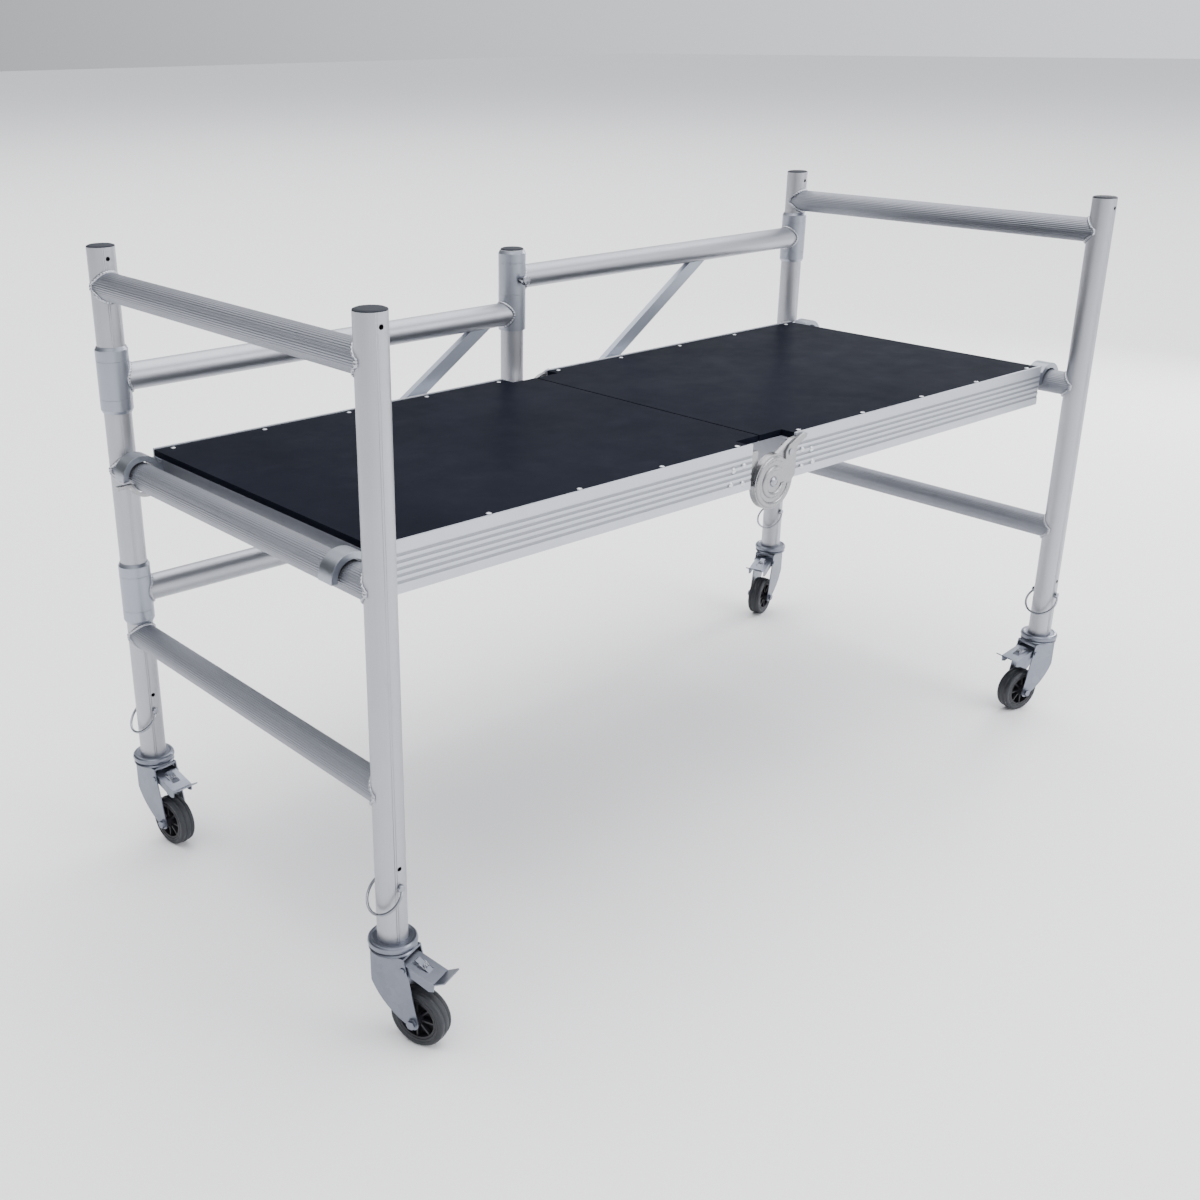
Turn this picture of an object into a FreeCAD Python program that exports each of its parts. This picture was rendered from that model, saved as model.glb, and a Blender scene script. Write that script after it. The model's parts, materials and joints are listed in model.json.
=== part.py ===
import FreeCAD, Part
import math
import os

# Folding room scaffold on four braked casters, in millimetres.
# X runs left to right, Y from front to back, Z up from the floor.

# End frames
POST_SPACING_X = 1917.6
POST_SPACING_Y = 823.0
TUBE_R = 25.4
TUBE_WALL = 2.0
BOTTOM_RUNG_Z = 450.0
RUNG_SPACING = 338.0
POST_OVER_RUNG = 69.0
RUNG_RIBS = 40
RUNG_RIB_DEPTH = 0.5
POST_HOLE_R = 4.0
TOP_HOLE_DROP = 20.0
LOCK_HOLE_RISE = 136.0
BAIL_PIN_RISE = 102.0
BAIL_REACH = 11.6
BAIL_DROP = 44.0
BAIL_WIRE_R = 1.8
CAP_H = 3.0

# Folding back frame
LOWER_COLLAR_GAP = 3.3
UPPER_COLLAR_GAP = 5.3
SLEEVE_WALL = 4.6
SLEEVE_HALF = 35.0
MIDDLE_SPLIT = 34.0
MIDDLE_REST = 17.3
COLLAR_H = 20.0
COLLAR_TAPER = 6.0
MIDDLE_POST_UNDER = 50.0
MIDDLE_POST_OVER = 62.0
BRACE_WIDTH = 30.0
BRACE_THICK = 15.0
LEFT_BRACE_TOP = 60.0
LEFT_BRACE_LOW = 258.8
RIGHT_BRACE_TOP = 333.8
RIGHT_BRACE_LOW = 20.0
LOCK_PIN_R = 4.0
LOCK_HOUSING_R = 8.0
RUN_CLEAR = 0.05
END_CLEAR = 0.3

# Platform
PLATFORM_FRONT_GAP = 41.1
PLATFORM_BACK_GAP = 17.1
DECK_RISE = 37.0
RAIL_HEIGHT = 87.0
RAIL_WEB = 3.5
RAIL_FLANGE = 32.0
RAIL_GROOVES = 5
GROOVE_DEPTH = 1.4
DECK_THICK = 12.0
RAIL_LIP = 2.0
RAIL_CENTRE_GAP = 62.0
DECK_CENTRE_GAP = 2.0
NOTCH_DEEP = 34.0
DECK_SCREWS = 5
DECK_SCREW_R = 5.0
DECK_SCREW_IN = 16.0
DECK_SCREW_START = 88.0
DECK_SCREW_END = 34.0
CROSS_BEAM_W = 34.0
HINGE_RISE = 3.5
DISC_R = 54.0
PLATE_THICK = 5.0
STRAP_END = 180.0
HINGE_RIVET_R = 7.0
LEVER_PIVOT = (40.0, 52.0)
LEVER_PIN_R = 4.0
CLAW_CLEAR = 3.4
CLAW_WALL = 11.2
CLAW_WIDTH = 36.0
CLAW_END_GAP = 2.0
CLAW_DROP = 4.0

# Casters
FLANGE_WIDTH = 16.1
FLANGE_H = 14.0
WHEEL_R = 51.0
WHEEL_OVER = 87.0
TYRE_WIDTH = 32.0
TYRE_THICK = 15.0
HUB_SPOKES = 8
CASTER_OFFSET = 50.0
FORK_SIDE_GAP = 11.0
FORK_SHEET = 2.5
FORK_RACE_H = 5.0
FORK_CROWN_H = 3.0
AXLE_R = 5.0
KINGPIN_R = 8.0
PEDAL_PIN_R = 3.0
PEDAL_PIVOT_X = 34.0
PEDAL_DROP = 41.0
CASTER_ANGLES = {"front_left": -69.0, "back_left": -82.0, "front_right": 169.0, "back_right": 197.0}

# Derived places
SIDES = {"left": -1, "right": 1}
ENDS = {"front": -1, "back": 1}
HALF_X = POST_SPACING_X / 2
HALF_Y = POST_SPACING_Y / 2
TUBE_INNER_R = TUBE_R - TUBE_WALL
MID_RUNG_Z = BOTTOM_RUNG_Z + RUNG_SPACING
TOP_RUNG_Z = MID_RUNG_Z + RUNG_SPACING
POST_BOTTOM = 2 * WHEEL_R + WHEEL_OVER
POST_TOP = TOP_RUNG_Z + POST_OVER_RUNG
TOP_HOLE_Z = POST_TOP - TOP_HOLE_DROP
LOCK_HOLE_Z = POST_BOTTOM + LOCK_HOLE_RISE
BAIL_PIN_Z = POST_BOTTOM + BAIL_PIN_RISE
SLEEVE_R = TUBE_R + SLEEVE_WALL
COLLAR_REACH = TUBE_R + SLEEVE_HALF + END_CLEAR + COLLAR_H + COLLAR_TAPER
RAIL_STEP = TUBE_R + MIDDLE_REST + END_CLEAR + MIDDLE_SPLIT
LOCK_PIN_Z = TOP_RUNG_Z - COLLAR_REACH - UPPER_COLLAR_GAP
LEFT_UPPER_RAIL_Z = LOCK_PIN_Z - RAIL_STEP
LEFT_LOWER_RAIL_Z = BOTTOM_RUNG_Z + COLLAR_REACH + LOWER_COLLAR_GAP
RAIL_HEIGHTS = {
    "left": (LEFT_LOWER_RAIL_Z, LEFT_UPPER_RAIL_Z),
    "right": (LEFT_LOWER_RAIL_Z + RAIL_STEP, LOCK_PIN_Z),
}
MIDDLE_POST_BOTTOM = LEFT_LOWER_RAIL_Z - MIDDLE_POST_UNDER
MIDDLE_POST_TOP = LOCK_PIN_Z + MIDDLE_POST_OVER
BRACE_ENDS = {
    "left": (-LEFT_BRACE_TOP, -HALF_X + LEFT_BRACE_LOW),
    "right": (HALF_X - RIGHT_BRACE_TOP, RIGHT_BRACE_LOW),
}
PLATFORM_WIDTH = POST_SPACING_Y - 2 * TUBE_R - PLATFORM_FRONT_GAP - PLATFORM_BACK_GAP
PLATFORM_Y = (PLATFORM_FRONT_GAP - PLATFORM_BACK_GAP) / 2
DECK_TOP_Z = MID_RUNG_Z + DECK_RISE
RAIL_TOP_Z = DECK_TOP_Z + RAIL_LIP
RAIL_BOTTOM_Z = RAIL_TOP_Z - RAIL_HEIGHT
HINGE_Z = RAIL_BOTTOM_Z + HINGE_RISE
LEDGE_Z = DECK_TOP_Z - DECK_THICK
CLAW_INNER_R = TUBE_R + CLAW_CLEAR
CLAW_OUTER_R = CLAW_INNER_R + CLAW_WALL
END_SETBACK = CLAW_OUTER_R + CLAW_END_GAP
FLANGE_R = TUBE_R + FLANGE_WIDTH
FORK_HALF = TYRE_WIDTH / 2 + FORK_SIDE_GAP
CROWN_TOP = POST_BOTTOM - FLANGE_H - END_CLEAR
CROWN_LOW = CROWN_TOP - FORK_RACE_H - FORK_CROWN_H
HUB_RIM_R = WHEEL_R - TYRE_THICK
PEDAL_PIVOT = (PEDAL_PIVOT_X, POST_BOTTOM - PEDAL_DROP)
# end of sizes

X = FreeCAD.Vector(1, 0, 0)
Y = FreeCAD.Vector(0, 1, 0)
Z = FreeCAD.Vector(0, 0, 1)
nodes = {}


def vec(x, y, z):
    return FreeCAD.Vector(x, y, z)


def add(name, *solids):
    nodes.setdefault(name, []).extend(solids)


def rod(centre, axis, low, high, radius):
    """A solid cylinder about axis through centre, from low to high along it."""
    return Part.makeCylinder(radius, high - low, centre + axis * low, axis)


def tube(centre, axis, low, high, outer, inner):
    return rod(centre, axis, low, high, outer).cut(rod(centre, axis, low - 1, high + 1, inner))


def block(x0, x1, y0, y1, z0, z1):
    low = vec(min(x0, x1), min(y0, y1), min(z0, z1))
    return Part.makeBox(abs(x1 - x0), abs(y1 - y0), abs(z1 - z0), low)


def prism(points, direction):
    """A prism on a closed outline, swept along direction."""
    return Part.Face(Part.makePolygon(points + points[:1])).extrude(direction)


def turned(profile, centre, axis, ref):
    """A ring or disc turned about axis from (radius, height) points."""
    points = [centre + ref * r + axis * h for r, h in profile]
    return Part.Face(Part.makePolygon(points + points[:1])).revolve(centre, axis, 360)


def wire_loop(start, middle, end, radius):
    """A round wire bent to the arc through three points."""
    arc = Part.Arc(start, middle, end).toShape()
    tangent = arc.tangentAt(arc.FirstParameter)
    ring = Part.Wire(Part.makeCircle(radius, start, tangent))
    return Part.Wire(arc).makePipeShell([ring], True, False)


def drilled(solid, centre, axis, radius, reach):
    return solid.cut(rod(centre, axis, -reach, reach, radius))


# End frames

def post(x, y, bottom, top):
    return tube(vec(x, y, 0), Z, bottom, top, TUBE_R, TUBE_INNER_R)


def cap(x, y, top):
    """A domed plastic cap with a plug that pushes into the tube."""
    rim = TUBE_R
    plug = TUBE_INNER_R - RUN_CLEAR
    profile = [(0, -18), (plug, -18), (plug, 0), (rim, 0)]
    profile += [(rim - 0.6, 1.6), (rim - 4, CAP_H), (0, CAP_H + 1)]
    return turned(profile, vec(x, y, top), Z, X)


def ribbed_rung(x, z):
    """A fluted tube between the two posts of an end frame, coped to both."""
    count = RUNG_RIBS * 4
    points = []
    for step in range(count):
        angle = 2 * math.pi * step / count
        radius = TUBE_R if step % 4 < 2 else TUBE_R - RUNG_RIB_DEPTH
        points.append(vec(x + radius * math.cos(angle), -HALF_Y, z + radius * math.sin(angle)))
    rung = prism(points, Y * POST_SPACING_Y)
    rung = rung.cut(rod(vec(x, 0, z), Y, -HALF_Y - 1, HALF_Y + 1, TUBE_INNER_R - 1))
    for y in (-HALF_Y, HALF_Y):
        rung = rung.cut(rod(vec(x, y, 0), Z, z - 2 * TUBE_R, z + 2 * TUBE_R, TUBE_R))
    pieces = sorted(rung.Solids, key=lambda s: s.Volume)
    return pieces[-1]


def collar(x, y, face, up):
    """A collar ring fixed on a post, tapered on its far side."""
    inner = TUBE_R
    outer = SLEEVE_R
    s = 1 if up else -1
    profile = [(inner, 0), (outer, 0), (outer, s * COLLAR_H)]
    profile += [(inner + 1.5, s * (COLLAR_H + COLLAR_TAPER)), (inner, s * (COLLAR_H + COLLAR_TAPER))]
    return turned(profile, vec(x, y, face), Z, X)


def bail_pin(x, y):
    """The cross pin with a button head, and its spring wire round the post."""
    head_y = TUBE_R + 5.5
    pin = rod(vec(x, y, BAIL_PIN_Z), Y, -head_y, head_y, POST_HOLE_R - RUN_CLEAR)
    for s in (-1, 1):
        button = rod(vec(x, y + s * (TUBE_R + 1), BAIL_PIN_Z), Y * s, 0, 5.5, 6.5)
        pin = pin.fuse(button.makeFillet(1.8, button.Edges[:1]))
    start = vec(x, y - head_y, BAIL_PIN_Z - 4.5)
    end = vec(x, y + head_y, BAIL_PIN_Z - 4.5)
    bail = wire_loop(start, vec(x - TUBE_R - BAIL_REACH, y, BAIL_PIN_Z - BAIL_DROP), end, BAIL_WIRE_R)
    return pin.fuse(bail).removeSplitter()


def end_frame(side):
    x = SIDES[side] * HALF_X
    for y in (-HALF_Y, HALF_Y):
        upright = post(x, y, POST_BOTTOM, POST_TOP)
        for z in (TOP_HOLE_Z, LOCK_HOLE_Z, BAIL_PIN_Z):
            upright = drilled(upright, vec(x, y, z), Y, POST_HOLE_R, TUBE_R + 5)
        add(side + "_posts", upright)
        add(side + "_post_caps", cap(x, y, POST_TOP))
        add(side + "_bail_pins", bail_pin(x, y))
        add(side + "_caster_sockets", caster_socket(x, y))
    for z in (BOTTOM_RUNG_Z, MID_RUNG_Z, TOP_RUNG_Z):
        add(side + "_rungs", ribbed_rung(x, z))
    for z in RAIL_HEIGHTS[side]:
        for up in (True, False):
            face = z + (SLEEVE_HALF + END_CLEAR) * (1 if up else -1)
            add(side + "_collar_rings", collar(x, HALF_Y, face, up))


def caster_socket(x, y):
    """The caster's round head: a thick flange, a plug in the post and the kingpin."""
    plug = TUBE_INNER_R - RUN_CLEAR
    low = -FLANGE_H
    crown = low - END_CLEAR - FORK_RACE_H - FORK_CROWN_H - 1
    profile = [(0, 60), (plug - 2, 60), (plug, 56), (plug, 0), (TUBE_R + 7, 0), (TUBE_R + 9, 1.2)]
    profile += [(FLANGE_R - 3, 0.6), (FLANGE_R - 0.8, -2), (FLANGE_R, -6), (FLANGE_R - 1, -10)]
    profile += [(FLANGE_R - 4, low), (KINGPIN_R, low), (KINGPIN_R, crown), (14, crown)]
    profile += [(13, crown - 4), (0, crown - 5)]
    return turned(profile, vec(x, y, POST_BOTTOM), Z, X)


# Casters

def caster(corner):
    end, side = corner.split("_")
    centre = vec(SIDES[side] * HALF_X, ENDS[end] * HALF_Y, 0)
    pieces = {
        "fork": fork(),
        "axle": caster_pins(),
        "hub": hub(),
        "tyre": tyre(),
        "pedal": pedal(),
    }
    for kind, shape in pieces.items():
        for solid in shape:
            solid.rotate(vec(0, 0, 0), Z, CASTER_ANGLES[corner])
            solid.translate(centre)
            add(corner + "_" + kind, solid)


def fork():
    """The pressed fork: a race ring, a crown and two legs joined by a round front."""
    outer_r = FLANGE_R - 3.5
    inner_r = outer_r - FORK_SHEET
    race = [(KINGPIN_R + RUN_CLEAR, 0), (outer_r, 0), (outer_r + 2, -2.5), (outer_r, -FORK_RACE_H)]
    race += [(KINGPIN_R + RUN_CLEAR, -FORK_RACE_H)]
    ring = turned(race, vec(0, 0, CROWN_TOP), Z, X)
    top = CROWN_TOP - FORK_RACE_H
    chin_z = POST_BOTTOM - 39

    reach = 2 * CASTER_OFFSET

    def side_outline(y):
        leg_z = WHEEL_R
        a = CASTER_OFFSET
        heel = vec(a - 10, y, leg_z - 6)
        front = Part.Arc(vec(-outer_r, y, chin_z), vec(-20, y, chin_z - 52), heel).toShape()
        toe = Part.Arc(heel, vec(a + 1, y, leg_z - 12), vec(a + 11.5, y, leg_z)).toShape()
        edges = [Part.makeLine(vec(-outer_r, y, top), vec(-outer_r, y, chin_z)), front, toe]
        edges += [Part.makeLine(vec(a + 11.5, y, leg_z), vec(outer_r - 2, y, top))]
        edges += [Part.makeLine(vec(outer_r - 2, y, top), vec(-outer_r, y, top))]
        return Part.Face(Part.Wire(edges))

    def body(half, radius):
        drum = rod(vec(0, 0, 0), Z, 0, POST_BOTTOM, radius)
        legs = block(0, reach, -half, half, 0, POST_BOTTOM)
        return drum.common(block(-reach, reach, -half, half, 0, POST_BOTTOM)).fuse(legs)

    outline = side_outline(-FORK_HALF - 5).extrude(Y * (2 * FORK_HALF + 10))
    shell = body(FORK_HALF, outer_r).common(outline)
    under = block(-reach, reach + 10, -FORK_HALF, FORK_HALF, -10, CROWN_LOW)
    hollow = body(FORK_HALF - FORK_SHEET, inner_r).common(under)
    shell = shell.cut(hollow)
    shell = drilled(shell, vec(0, 0, CROWN_LOW), Z, KINGPIN_R + RUN_CLEAR, 30)
    shell = shell.fuse(ring).removeSplitter()
    shell = drilled(shell, vec(CASTER_OFFSET, 0, WHEEL_R), Y, AXLE_R + RUN_CLEAR, 60)
    return [drilled(shell, vec(PEDAL_PIVOT[0], 0, PEDAL_PIVOT[1]), Y, PEDAL_PIN_R + RUN_CLEAR, 60)]


def hex_head(centre, axis, flats, height):
    radius = flats / math.sqrt(3)
    points = []
    for step in range(6):
        angle = math.radians(60 * step)
        points.append(centre + X * (radius * math.cos(angle)) + Z * (radius * math.sin(angle)))
    return prism(points, axis * height)


def caster_pins():
    """The wheel's hex bolt with its nut, and the pedal's rivet."""
    axle = vec(CASTER_OFFSET, 0, WHEEL_R)
    face = FORK_HALF + 0.2
    bolt = rod(axle, Y, -face - 1, face + 1, AXLE_R)
    for s in (-1, 1):
        bolt = bolt.fuse(rod(axle + Y * (s * face), Y * s, 0, 1.5, 9))
        bolt = bolt.fuse(hex_head(axle + Y * (s * (face + 1.5)), Y * s, 14, 5.5))
    pivot = vec(PEDAL_PIVOT[0], 0, PEDAL_PIVOT[1])
    rivet = rod(pivot, Y, -face, face, PEDAL_PIN_R)
    for s in (-1, 1):
        rivet = rivet.fuse(rod(pivot + Y * (s * face), Y * s, 0, 2, 5))
    return [bolt.removeSplitter(), rivet.removeSplitter()]


def hub():
    """The ribbed plastic wheel centre."""
    centre = vec(CASTER_OFFSET, 0, WHEEL_R)
    half = TYRE_WIDTH / 2 - 1
    body = rod(centre, Y, -half, half, HUB_RIM_R).cut(rod(centre, Y, 3, half + 1, HUB_RIM_R - 3.5))
    body = body.cut(rod(centre, Y, -half - 1, -3, HUB_RIM_R - 3.5))
    body = body.fuse(rod(centre, Y, -FORK_HALF + 4, FORK_HALF - 4, 11))
    for step in range(HUB_SPOKES):
        spoke = block(8, HUB_RIM_R - 2, -half + 2, half - 2, -1.5, 1.5)
        spoke.rotate(vec(0, 0, 0), Y, 360.0 * step / HUB_SPOKES)
        spoke.translate(centre)
        body = body.fuse(spoke)
    return [drilled(body.removeSplitter(), centre, Y, AXLE_R + RUN_CLEAR, 60)]


def tyre():
    """A rubber tyre with two shoulders and a raised centre band."""
    centre = vec(CASTER_OFFSET, 0, WHEEL_R)
    half = TYRE_WIDTH / 2
    outline = [(HUB_RIM_R, -half + 1), (HUB_RIM_R + 3, -half), (WHEEL_R - 6, -half)]
    outline += [(WHEEL_R - 2, -half + 3), (WHEEL_R - 1, -8), (WHEEL_R - 2, -6.5), (WHEEL_R, -4)]
    outline += [(r, -h) for r, h in reversed(outline)]
    return [turned(outline, centre, Y, X)]


def pedal():
    """The brake pedal: a folded channel with a turned-up lip and a raised spring tab."""
    half = FORK_HALF - FORK_SHEET - 1.8
    t, z = PEDAL_PIVOT
    sheet = 2.2
    top = [(t - 7, z + 9), (t + 56, z - 12), (t + 77, z - 1)]
    top += [(t + 75.6, z + 1), (t + 55.5, z - 9.6), (t - 6.2, z + 11.2)]
    plate = prism([vec(a, -half, b) for a, b in top], Y * (2 * half))
    flank = [(t - 7, z + 9), (t - 7, z - 7), (t + 10, z - 11)]
    flank += [(t + 46, z - 26), (t + 55, z - 24), (t + 56, z - 12)]
    shape = plate
    for y in (-half, half - sheet):
        shape = shape.fuse(prism([vec(a, y, b) for a, b in flank], Y * sheet))
    slope = math.degrees(math.atan2(21.0, 63.0))
    slot = block(14, 46, -9, 9, -6, 20)
    slot.rotate(vec(0, 0, 0), Y, slope)
    slot.translate(vec(t - 7, 0, z + 9))
    shape = shape.cut(slot)
    tab = block(16, 46.5, -6.5, 6.5, 0, sheet)
    tab.rotate(vec(46.5, 0, 0), Y, 12)
    tab.rotate(vec(0, 0, 0), Y, slope)
    tab.translate(vec(t - 7, 0, z + 9))
    shape = shape.fuse(tab).removeSplitter()
    return [drilled(shape, vec(t, 0, z), Y, PEDAL_PIN_R + RUN_CLEAR, 60)]


# Folding back frame

def sleeve(x, y, low, high):
    """A sleeve that turns on a post."""
    return tube(vec(x, y, 0), Z, low, high, SLEEVE_R, TUBE_R + RUN_CLEAR)


def back_rail(x0, x1, z):
    """A round tube between two sleeves, coped to both."""
    rail = tube(vec(0, HALF_Y, z), X, x0, x1, TUBE_R, TUBE_INNER_R)
    for x in (x0, x1):
        rail = rail.cut(rod(vec(x, HALF_Y, 0), Z, z - 2 * TUBE_R, z + 2 * TUBE_R, SLEEVE_R))
    return rail


def brace(high_x, low_x, high_z, low_z):
    """A flat bar from the upper rail down to the lower rail."""
    dx = high_x - low_x
    dz = high_z - low_z
    length = math.hypot(dx, dz)
    nx = -dz / length * BRACE_WIDTH / 2
    nz = dx / length * BRACE_WIDTH / 2
    y = HALF_Y - BRACE_THICK / 2
    corners = [(low_x + nx, low_z + nz), (high_x + nx, high_z + nz)]
    corners += [(high_x - nx, high_z - nz), (low_x - nx, low_z - nz)]
    bar = prism([vec(a, y, b) for a, b in corners], Y * BRACE_THICK)
    for z in (high_z, low_z):
        bar = bar.cut(rod(vec(0, HALF_Y, z), X, -HALF_X, HALF_X, TUBE_R))
    return max(bar.Solids, key=lambda s: s.Volume)


def back_frame():
    """Two hinged halves of the back frame, with the middle post on the left half."""
    for side, s in SIDES.items():
        low, high = RAIL_HEIGHTS[side]
        for z in (low, high):
            add(side + "_back_sleeves", sleeve(s * HALF_X, HALF_Y, z - SLEEVE_HALF, z + SLEEVE_HALF))
            ends = (-HALF_X, 0) if side == "left" else (0, HALF_X)
            add(side + "_back_rails", back_rail(ends[0], ends[1], z))
        top_x, low_x = BRACE_ENDS[side]
        bar = brace(top_x, low_x, high, low)
        add(side + "_back_brace", bar.cut(rod(vec(0, HALF_Y, 0), Z, 0, POST_TOP, SLEEVE_R)))
    upright = post(0, HALF_Y, MIDDLE_POST_BOTTOM, MIDDLE_POST_TOP)
    add("middle_post", upright)
    add("middle_post_cap", cap(0, HALF_Y, MIDDLE_POST_TOP))
    for left_z, right_z in zip(RAIL_HEIGHTS["left"], RAIL_HEIGHTS["right"]):
        seam = right_z - MIDDLE_SPLIT
        fixed = tube(vec(0, HALF_Y, 0), Z, left_z - SLEEVE_HALF, seam - END_CLEAR, SLEEVE_R, TUBE_R)
        add("left_back_sleeves", fixed)
        turning = sleeve(0, HALF_Y, seam, right_z + MIDDLE_SPLIT)
        if right_z == LOCK_PIN_Z:
            face = vec(0, HALF_Y - SLEEVE_R, LOCK_PIN_Z)
            turning = drilled(turning, face, Y, LOCK_PIN_R + RUN_CLEAR, 10)
        add("right_back_sleeves", turning)
        add("middle_collar_rings", collar(0, HALF_Y, right_z + MIDDLE_SPLIT + END_CLEAR, True))
    lock_pin()


def lock_pin():
    """The sprung pin on the turning sleeve that locks the two halves in line."""
    face = vec(0, HALF_Y - SLEEVE_R, LOCK_PIN_Z)
    around = rod(vec(0, HALF_Y, LOCK_PIN_Z), Z, -20, 20, SLEEVE_R)
    housing = rod(face, Y, -11, 3, LOCK_HOUSING_R).cut(around)
    housing = drilled(housing, face, Y, LOCK_PIN_R + RUN_CLEAR, 20)
    add("lock_pin_housing", housing)
    knob = turned([(0, 0), (9.5, 0), (11, 1.5), (11, 8), (9, 10), (0, 10.5)], face - Y * 11.3, -Y, X)
    stem = rod(face, Y, -14, SLEEVE_WALL - 0.6, LOCK_PIN_R)
    add("lock_pin", knob.fuse(stem).removeSplitter())


# Platform

def rail_section(y, s):
    """Section of a side rail: a grooved web, a ledge for the deck and a bottom flange."""
    def at(depth, height):
        return vec(0, y - s * depth, RAIL_BOTTOM_Z + height)

    web = RAIL_WEB + GROOVE_DEPTH
    ledge = LEDGE_Z - RAIL_BOTTOM_Z
    first = 16.0
    pitch = (RAIL_HEIGHT - first - 15.0) / RAIL_GROOVES
    points = [at(0, 0), at(0, first)]
    for step in range(RAIL_GROOVES):
        low = first + pitch * step
        points += [at(GROOVE_DEPTH, low + 1.0), at(GROOVE_DEPTH, low + pitch * 0.45)]
        points += [at(0, low + pitch * 0.45 + 1.0), at(0, low + pitch)]
    points += [at(0, RAIL_HEIGHT), at(web, RAIL_HEIGHT), at(web, ledge), at(RAIL_FLANGE, ledge)]
    points += [at(RAIL_FLANGE, ledge - 3), at(web, ledge - 3), at(web, 3)]
    points += [at(RAIL_FLANGE, 3), at(RAIL_FLANGE, 0)]
    return points


def hinge_layers(y, s):
    """Outward distances, from the rail's face, of the inner and outer hinge plates."""
    inner_face = -(RAIL_WEB + GROOVE_DEPTH)
    return inner_face - PLATE_THICK, inner_face


def plate(points, y, s, low, high):
    """A flat plate in the rail's plane between two outward distances."""
    return prism([vec(a, y + s * low, b) for a, b in points], Y * (s * (high - low)))


def disc(y, s, low, high, radius):
    return rod(vec(0, y, HINGE_Z), Y * s, low, high, radius)


def hinge_leaf(side, y, s):
    """One leaf of a ladder hinge: a strap inside the rail and a round disc."""
    k = SIDES[side]
    low, high = hinge_layers(y, s)
    bottom = RAIL_BOTTOM_Z + 3
    top = LEDGE_Z - 3
    near = 40.0 if side == "left" else 30.0
    far = k * STRAP_END
    strap = plate([(k * near, bottom), (far, bottom), (far, top), (k * near, top)], y, s, low, high)
    if side == "left":
        leaf = strap.fuse(disc(y, s, low, high, DISC_R)).removeSplitter()
        return drilled(leaf, vec(0, y, HINGE_Z), Y, HINGE_RIVET_R, 40)
    strap = strap.cut(disc(y, s, low - 1, high + 1, DISC_R + 0.6))
    outer_low = high + END_CLEAR
    outer_high = 4.0
    ear = [(0, HINGE_Z - DISC_R + 8), (20, HINGE_Z - 48), (RAIL_CENTRE_GAP - 0.5, RAIL_BOTTOM_Z + 8)]
    ear += [(RAIL_CENTRE_GAP - 0.5, RAIL_TOP_Z - 6), (46, RAIL_TOP_Z - 8), (0, HINGE_Z + DISC_R - 4)]
    front = plate(ear, y, s, outer_low, outer_high).fuse(disc(y, s, outer_low, outer_high, DISC_R))
    joggle = plate([(55.2, bottom), (61.5, bottom), (61.5, top), (55.2, top)], y, s, low, outer_low)
    joggle = joggle.cut(disc(y, s, low - 1, outer_low + 1, DISC_R + 0.6))
    emboss = disc(y, s, outer_high, outer_high + 1.6, 31)
    emboss = emboss.cut(disc(y, s, outer_high - 1, outer_high + 3, 22))
    gap = block(8, 40, y - 30, y + 30, HINGE_Z - 6, HINGE_Z + 22)
    rim = disc(y, s, outer_high, outer_high + 1.0, DISC_R - 4)
    rim = rim.cut(disc(y, s, outer_high - 1, outer_high + 3, DISC_R - 13))
    rim = rim.cut(block(22, 60, y - 30, y + 30, HINGE_Z - 10, HINGE_Z + 60))
    leaf = strap.fuse(joggle).fuse(front).fuse(emboss.cut(gap)).fuse(rim)
    return drilled(leaf.removeSplitter(), vec(0, y, HINGE_Z), Y, HINGE_RIVET_R + RUN_CLEAR, 40)


def hinge_rivet(y, s):
    """The hinge's centre rivet, fixed in the left leaf."""
    low, high = hinge_layers(y, s)
    shank = rod(vec(0, y, HINGE_Z), Y * s, low - 3, 5, HINGE_RIVET_R)
    head = turned([(0, 4.2), (10, 4.2), (9, 6), (5, 7.8), (0, 8.2)], vec(0, y, HINGE_Z), Y * s, X)
    tail = rod(vec(0, y, HINGE_Z), Y * s, low - 4, low, 11)
    return shank.fuse(head).fuse(tail).removeSplitter()


def hinge_lever(y, s):
    """The lever that locks a ladder hinge, pivoted on the outer leaf."""
    px, pz = LEVER_PIVOT
    low, high = 4.3, 8.0
    outline = [(-13, -12), (-2, -16), (9, -10), (13, 2), (24, 12), (44, 22), (46, 28), (38, 31)]
    outline += [(14, 22), (-4, 14), (-14, 2)]
    arm = plate([(px + a, HINGE_Z + pz + b) for a, b in outline], y, s, low, high)
    return drilled(arm, vec(px, y, HINGE_Z + pz), Y, LEVER_PIN_R + RUN_CLEAR, 40)


def lever_pin(y, s):
    px, pz = LEVER_PIVOT
    pin = rod(vec(px, y, HINGE_Z + pz), Y * s, 4, 8.4, LEVER_PIN_R)
    return pin.fuse(rod(vec(px, y, HINGE_Z + pz), Y * s, 8.3, 9.6, 6))


def claw(side, y):
    """A cast hook over the middle rung, with an arm to the end beam."""
    k = SIDES[side]
    rung_x = k * HALF_X
    centre = vec(rung_x, y, MID_RUNG_Z)
    half = CLAW_WIDTH / 2
    ring = rod(centre, Y, -half, half, CLAW_OUTER_R)
    low = MID_RUNG_Z - CLAW_DROP
    wide = CLAW_OUTER_R + 20
    keep = block(rung_x - wide, rung_x + wide, y - half, y + half, low, MID_RUNG_Z + wide)
    ring = ring.common(keep)
    end_x = rung_x - k * END_SETBACK
    arm = block(end_x, rung_x - k * 20, y - half, y + half, low, LEDGE_Z - 2)
    return ring.fuse(arm).cut(rod(centre, Y, -half - 1, half + 1, CLAW_INNER_R)).removeSplitter()


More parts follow.
